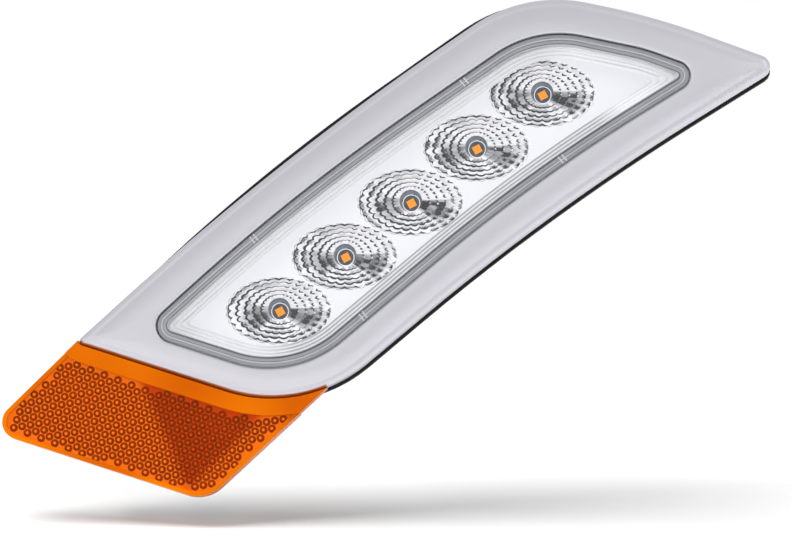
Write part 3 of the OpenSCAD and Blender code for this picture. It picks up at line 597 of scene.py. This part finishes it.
# Threads of the M5 studs: one ridge to each pitch, each a pair of cones foot to foot.
THREAD_PITCH, THREADS, CREST_R, ROOT_R = 0.8, 18, 2.5, 2.1
thread_tree = bpy.data.node_groups.new("stud_thread", "GeometryNodeTree")
socket(thread_tree, "Points", "NodeSocketGeometry")
crest_id = socket(thread_tree, "Crest radius", "NodeSocketFloat", CREST_R / 1000)
root_id = socket(thread_tree, "Root radius", "NodeSocketFloat", ROOT_R / 1000)
pitch_id = socket(thread_tree, "Pitch", "NodeSocketFloat", THREAD_PITCH / 1000)
socket(thread_tree, "Geometry", "NodeSocketGeometry", way="OUTPUT")
given = add(thread_tree, "NodeGroupInput", {})
half = add(thread_tree, "ShaderNodeMath", {0: given.outputs["Pitch"], 1: 0.5}, operation="MULTIPLY")
rising = add(thread_tree, "GeometryNodeMeshCone", {
    "Vertices": 32, "Radius Bottom": given.outputs["Root radius"],
    "Radius Top": given.outputs["Crest radius"], "Depth": half.outputs[0]}, fill_type="NONE")
falling = add(thread_tree, "GeometryNodeMeshCone", {
    "Vertices": 32, "Radius Bottom": given.outputs["Crest radius"],
    "Radius Top": given.outputs["Root radius"], "Depth": half.outputs[0]}, fill_type="NONE")
half_up = add(thread_tree, "ShaderNodeCombineXYZ", {"Z": half.outputs[0]})
lifted = add(thread_tree, "GeometryNodeTransform", {
    "Geometry": falling.outputs["Mesh"], "Translation": half_up.outputs[0]})
ridge = add(thread_tree, "GeometryNodeJoinGeometry", {0: rising.outputs["Mesh"]})
thread_tree.links.new(lifted.outputs[0], ridge.inputs[0])
set_out = add(thread_tree, "GeometryNodeInstanceOnPoints", {
    "Points": given.outputs["Points"], "Instance": ridge.outputs[0], "Rotation": (-math.pi / 2, 0, 0)})
real = add(thread_tree, "GeometryNodeRealizeInstances", {0: set_out.outputs[0]})
clad = add(thread_tree, "GeometryNodeSetMaterial", {0: real.outputs[0], "Material": zinc})
add(thread_tree, "NodeGroupOutput", {"Geometry": clad.outputs[0]})
# Plain parts of a stud: the head held in the flange and the chamfered end.
STUD_HEAD = [(ROOT_R, 0.8), (ROOT_R, 0), (3.6, 0), (3.6, -4.0), (3.3, -4.3)]
STUD_END = [(1.6, 16), (ROOT_R, 15.2)]
STUDS = {"stud_middle": (0, 0), "stud_rear": (-67.68, -93.02), "stud_tip": (141.67, 29.48)}
for name, (x, z) in STUDS.items():
    foot_at = np.array((x, 0, z)) / 1000
    turned(f"{name}_head", foot_at, STUD_HEAD, zinc, [name])
    turned(f"{name}_end", foot_at, STUD_END, zinc, [name])
    ridges = [foot_at + (0, THREAD_PITCH * (1 + k) / 1000, 0) for k in range(THREADS)]
    sizes = {crest_id: CREST_R / 1000, root_id: ROOT_R / 1000, pitch_id: THREAD_PITCH / 1000}
    grown(f"{name}_thread", ridges, thread_tree, sizes, [name])


# Reflex reflector
# Amber acrylic: a clear face over a close-packed field of round-footed prisms, a plain border and
# a smooth raised band beside the bezel. It sits on the case's flange over a white backing.
REFLEX = np.array([(-112.5, 35.4), (-58, -31.7), (-118, -35.2), (-160.5, 31.3)])


def reflex_line(e):
    radii = [1, 1, max(12 - e, 2), max(6 - e, 2)]
    return rounded(moved(REFLEX, (-8, e, e, e)), radii, (2, 2, 24, 16))


def holds(outline, p):
    """True where a point lies inside a closed outline."""
    a, b = outline, np.roll(outline, -1, axis=0)
    spans = (a[:, 1] > p[1]) != (b[:, 1] > p[1])
    with np.errstate(divide="ignore", invalid="ignore"):
        cross = (b[:, 0] - a[:, 0]) * (p[1] - a[:, 1]) / (b[:, 1] - a[:, 1]) + a[:, 0]
    return bool(np.sum(spans & (p[0] < cross)) % 2)


def amber_slab(name, lines, kept, low, high, looks, covers=("reflex_reflector",)):
    """A plate with upright walls, filled where kept(point) is true between the given lines."""
    flat, edges = [], []
    for line in lines:
        m = len(flat)
        flat += [Vector(p) for p in line]
        edges += [(m + i, m + (i + 1) % len(line)) for i in range(len(line))]
    flat, _, found, *_ = geometry.delaunay_2d_cdt(flat, edges, [], 0, 1e-6)
    found = [tuple(tri) for tri in found if kept(sum((flat[i] for i in tri), Vector((0, 0))) / 3)]
    used = sorted({i for tri in found for i in tri})
    flat, place = [flat[i] for i in used], {i: k for k, i in enumerate(used)}
    found = [tuple(place[i] for i in tri) for tri in found]
    inner = {(b, a) for tri in found for a, b in zip(tri, tri[1:] + tri[:1])}
    rim = [(a, b) for tri in found for a, b in zip(tri, tri[1:] + tri[:1]) if (a, b) not in inner]
    n = len(flat)
    top = [(p.x, p.y, high) for p in flat] + [(p.x, p.y, low) for p in flat]
    faces = found + [tuple(i + n for i in reversed(tri)) for tri in found]
    faces += [(a, a + n, b + n, b) for a, b in rim]
    return mesh_piece(name, placed(top), faces, looks, covers)


# Solid amber where nothing lies behind it: an orange with soft lighter streaks and a polished skin, with a
# painted glow as if light scattered inside it.
amber_solid, tree = blank_material("solid_amber_acrylic")
where = add(tree, "ShaderNodeTexCoord", {}).outputs["Object"]
streak = add(tree, "ShaderNodeTexNoise", {"Vector": where, "Scale": 30.0, "Detail": 1.0})
tone = add(tree, "ShaderNodeMix", {0: streak.outputs["Fac"], 6: linear("#A23A00"), 7: linear("#DC7600")},
           data_type="RGBA")
finish_material(amber_solid, add(tree, "ShaderNodeBsdfPrincipled", {
    "Base Color": tone.outputs[2], "Roughness": 0.22, "Specular IOR Level": 0.03,
    "Emission Color": tone.outputs[2], "Emission Strength": 0.12}).outputs["BSDF"])
free_edge, border_edge = reflex_line(0), reflex_line(1.5)
bezel_edge, band_edge = face_line(0, -0.3), face_line(0, -6)
amber_slab("amber_smooth_band", (free_edge, bezel_edge, band_edge),
           lambda p: holds(free_edge, p) and not holds(bezel_edge, p) and holds(band_edge, p),
           5.2, 9.9, amber_solid)
amber_slab("amber_border", (free_edge, border_edge, band_edge),
           lambda p: holds(free_edge, p) and not holds(border_edge, p) and not holds(band_edge, p),
           2.8, 9.2, amber_solid)

# Amber seen down through the prisms: each prism has flanks in painted shade and a tip in a painted highlight,
# and the field near the bezel's heel, which throws no light back to the eye, is painted a deep red-brown. A
# faint painted glow lifts it all.
amber_prisms, tree = blank_material("amber_acrylic_prisms")
where = add(tree, "ShaderNodeTexCoord", {}).outputs["Object"]
slanted = (math.cos(RAKE) + 0.28 * math.sin(RAKE), 0, math.sin(RAKE) - 0.28 * math.cos(RAKE))
across = add(tree, "ShaderNodeVectorMath", {0: where, 1: slanted}, operation="DOT_PRODUCT")
begins = add(tree, "ShaderNodeMapRange", {
    "Value": across.outputs["Value"], "From Min": -0.0885, "From Max": -0.0845})
down = add(tree, "ShaderNodeVectorMath", {0: where, 1: (0.707, 0, -0.707)}, operation="DOT_PRODUCT")
ends = add(tree, "ShaderNodeMapRange", {
    "Value": down.outputs["Value"], "From Min": 0.0505, "From Max": 0.0475})
heel_zone = add(tree, "ShaderNodeMath", {0: begins.outputs[0], 1: ends.outputs[0]}, operation="MULTIPLY")
mottle = add(tree, "ShaderNodeTexNoise", {"Vector": where, "Scale": 90.0, "Detail": 2.0})
depth = add(tree, "ShaderNodeAttribute", {}, attribute_name="tone")
flank = add(tree, "ShaderNodeMix", {0: heel_zone.outputs[0], 6: linear("#702E04"), 7: linear("#541000")},
            data_type="RGBA")
tip = add(tree, "ShaderNodeMix", {0: heel_zone.outputs[0], 6: linear("#EAAA44"), 7: linear("#B84608")},
          data_type="RGBA")
cell = add(tree, "ShaderNodeMix", {0: depth.outputs["Fac"], 6: flank.outputs[2], 7: tip.outputs[2]},
           data_type="RGBA")
veil = add(tree, "ShaderNodeMath", {0: mottle.outputs["Fac"], 1: 0.3}, operation="MULTIPLY")
tone = add(tree, "ShaderNodeMix", {0: veil.outputs[0], 6: cell.outputs[2], 7: linear("#B4601E")},
           data_type="RGBA")
finish_material(amber_prisms, add(tree, "ShaderNodeBsdfPrincipled", {
    "Base Color": tone.outputs[2], "Roughness": 0.35, "Specular IOR Level": 0.05,
    "Emission Color": tone.outputs[2], "Emission Strength": 0.1}).outputs["BSDF"])


def on_field(p):
    return holds(border_edge, p) and not holds(band_edge, p)


sheet = amber_slab("amber_prism_ground", (border_edge, band_edge), on_field, 6.6, 7.9, amber_prisms)
# The ground between the prisms takes the light tone of the painted highlight.
ground = sheet.data.attributes.new("tone", "FLOAT", "POINT")
ground.data.foreach_set("value", np.full(len(sheet.data.vertices), 1, dtype=np.float32))

# The polished front of the prism field: clear amber that mirrors a little.
amber_face = glazed("clear_amber_acrylic_face", "#FFE3B8", "#FFB060", 0.08)
amber_slab("amber_clear_face", (border_edge, band_edge), on_field, 9.0, 9.2, amber_face)

# Prisms on a close-packed lattice, whose columns stand along the lamp's cross axis. Each is a
# round pin that narrows to its tip, and their feet meet.
PRISM_PITCH, PRISM_FOOT, PRISM_TIP, PRISM_HEIGHT, PRISM_SIDES = 2.9, 1.47, 0.5, 0.8, 14
prism_tree = bpy.data.node_groups.new("prism_field", "GeometryNodeTree")
socket(prism_tree, "Points", "NodeSocketGeometry")
foot_id = socket(prism_tree, "Foot radius", "NodeSocketFloat", PRISM_FOOT / 1000)
tip_id = socket(prism_tree, "Tip radius", "NodeSocketFloat", PRISM_TIP / 1000)
height_id = socket(prism_tree, "Prism height", "NodeSocketFloat", PRISM_HEIGHT / 1000)
socket(prism_tree, "Geometry", "NodeSocketGeometry", way="OUTPUT")
given = add(prism_tree, "NodeGroupInput", {})
flanks = add(prism_tree, "GeometryNodeMeshCone", {
    "Vertices": PRISM_SIDES, "Radius Bottom": given.outputs["Foot radius"],
    "Radius Top": given.outputs["Tip radius"], "Depth": given.outputs["Prism height"]}, fill_type="NONE")
# Flanks store tone 0 for painted shade and tips tone 1 for a painted highlight.
dark_flanks = add(prism_tree, "GeometryNodeStoreNamedAttribute", {
    "Geometry": flanks.outputs["Mesh"], "Name": "tone", "Value": 0.0}, data_type="FLOAT", domain="POINT")
tip_disc = add(prism_tree, "GeometryNodeMeshCircle", {
    "Vertices": PRISM_SIDES, "Radius": given.outputs["Tip radius"]}, fill_type="NGON")
tip_height = add(prism_tree, "ShaderNodeCombineXYZ", {"Z": given.outputs["Prism height"]})
tip_up = add(prism_tree, "GeometryNodeTransform", {
    "Geometry": tip_disc.outputs["Mesh"], "Translation": tip_height.outputs[0]})
light_tip = add(prism_tree, "GeometryNodeStoreNamedAttribute", {
    "Geometry": tip_up.outputs[0], "Name": "tone", "Value": 1.0}, data_type="FLOAT", domain="POINT")
prism = add(prism_tree, "GeometryNodeJoinGeometry", {0: dark_flanks.outputs[0]})
prism_tree.links.new(light_tip.outputs[0], prism.inputs[0])
set_out = add(prism_tree, "GeometryNodeInstanceOnPoints", {
    "Points": given.outputs["Points"], "Instance": prism.outputs[0], "Rotation": (math.pi / 2, -RAKE, 0)})
real = add(prism_tree, "GeometryNodeRealizeInstances", {0: set_out.outputs[0]})
clad = add(prism_tree, "GeometryNodeSetMaterial", {0: real.outputs[0], "Material": amber_prisms})
add(prism_tree, "NodeGroupOutput", {"Geometry": clad.outputs[0]})
room, clear_of_band = reflex_line(2.15), face_line(0, -7)
lattice = []
for i in range(46):
    for j in range(30):
        p = (-160.5 + i * PRISM_PITCH * math.sin(math.pi / 3), -39.2 + (j + i % 2 / 2) * PRISM_PITCH)
        if holds(room, p) and not holds(clear_of_band, p):
            lattice.append((*p, 7.85))
sizes = {foot_id: PRISM_FOOT / 1000, tip_id: PRISM_TIP / 1000, height_id: PRISM_HEIGHT / 1000}
grown("amber_prisms", placed(lattice), prism_tree, sizes, ["reflex_reflector"])


# Camera and light
# Seen from a little below and forwards of square on, through a long lens. The white surroundings
# and broad soft lights light it evenly, and it throws its own soft shadow on a pale floor.
azimuth, elevation = math.radians(5.1), math.radians(-6.2)
back = Vector((math.sin(azimuth) * math.cos(elevation), -math.cos(azimuth) * math.cos(elevation),
               math.sin(elevation)))
right = Vector((math.cos(azimuth), math.sin(azimuth), 0))
up = back.cross(right)
middle_lamp = Vector(placed((0, 0, -1.3)))
aim = middle_lamp - right * 0.00546 - up * 0.02404
distance, sensor, seen_width = 2.4, 36, 0.2697
lens = bpy.data.cameras.new("camera")
lens.sensor_width = sensor
lens.lens = sensor * distance / seen_width
camera = bpy.data.objects.new("camera", lens)
camera.matrix_world = Matrix.LocRotScale(
    aim + back * distance, Matrix((right, up, back)).transposed().to_quaternion(), None)
bpy.context.scene.collection.objects.link(camera)
bpy.context.scene.camera = camera
bpy.context.scene.view_settings.view_transform = "Standard"

# White to the camera, a little less in mirrored looks, and softer still on matt surfaces.
world = bpy.data.worlds.new("studio")
world.use_nodes = True
world.node_tree.nodes.clear()
tree = world.node_tree
path = add(tree, "ShaderNodeLightPath", {})
soft = add(tree, "ShaderNodeBackground", {"Color": linear("#FFFFFF"), "Strength": 0.42})
tent = add(tree, "ShaderNodeBackground", {"Color": linear("#FFFFFF"), "Strength": 0.88})
white = add(tree, "ShaderNodeBackground", {"Color": linear("#FFFFFF"), "Strength": 1.0})
mirrored = add(tree, "ShaderNodeMixShader", {
    0: path.outputs["Is Glossy Ray"], 1: soft.outputs[0], 2: tent.outputs[0]})
seen = add(tree, "ShaderNodeMixShader", {
    0: path.outputs["Is Camera Ray"], 1: mirrored.outputs[0], 2: white.outputs[0]})
add(tree, "ShaderNodeOutputWorld", {"Surface": seen.outputs[0]})
bpy.context.scene.world = world

# The floor lies just under the lamp's lowest point and tips a little towards the camera.
floor_tip = math.radians(11)
floor_up = up * math.cos(floor_tip) + back * math.sin(floor_tip)
floor_away = floor_up.cross(right)
foot = aim - up * 0.0835
floor_corners = ((-3, -0.8), (3, -0.8), (3, 0.5), (-3, 0.5))
mesh = bpy.data.meshes.new("floor")
mesh.from_pydata([foot + right * x + floor_away * y for x, y in floor_corners], [], [(0, 1, 2, 3)])
floor = bpy.data.objects.new("floor", mesh)
bpy.context.scene.collection.objects.link(floor)
# A pale matt floor. Its underside, which low views from behind meet, is as white as the surround.
pale, tree = blank_material("pale_floor")
matt = add(tree, "ShaderNodeBsdfDiffuse", {"Color": linear("#E2E2E2")})
white = add(tree, "ShaderNodeEmission", {"Color": linear("#FFFFFF"), "Strength": 1.0})
path = add(tree, "ShaderNodeLightPath", {})
face = add(tree, "ShaderNodeNewGeometry", {})
below = add(tree, "ShaderNodeMath", {0: path.outputs["Is Camera Ray"], 1: face.outputs["Backfacing"]},
            operation="MULTIPLY")
finish_material(pale, add(tree, "ShaderNodeMixShader", {
    0: below.outputs[0], 1: matt.outputs[0], 2: white.outputs[0]}).outputs[0])
mesh.materials.append(pale)


def wide_light(name, towards, strength, spread):
    """Even light from one side of the studio, kept out of the mirrored surroundings."""
    light = bpy.data.lights.new(name, "SUN")
    light.energy, light.angle = strength, math.radians(spread)
    holder = bpy.data.objects.new(name, light)
    holder.matrix_world = Matrix.LocRotScale(aim + towards, towards.to_track_quat("Z", "Y"), None)
    holder.visible_glossy = False
    bpy.context.scene.collection.objects.link(holder)


# The overhead light leans from the left, so that the lamp's own soft shadow reaches along the floor.
wide_light("overhead", (floor_up - right * 0.32).normalized(), 3.1, 40)
wide_light("front", (back + right * 0.1 + up * 0.25).normalized(), 1.32, 40)


def softbox(name, place, target, size, power):
    light = bpy.data.lights.new(name, "AREA")
    light.shape, light.size, light.energy = "SQUARE", size, power
    holder = bpy.data.objects.new(name, light)
    holder.matrix_world = Matrix.LocRotScale(place, (place - target).to_track_quat("Z", "Y"), None)
    bpy.context.scene.collection.objects.link(holder)


softbox("right", aim + back * 1.2 + right * 0.9 + up * 0.7, aim, 1.4, 2.2)
softbox("left", aim + back * 1.4 - right * 0.8 + up * 0.1, aim, 1.6, 1.9)
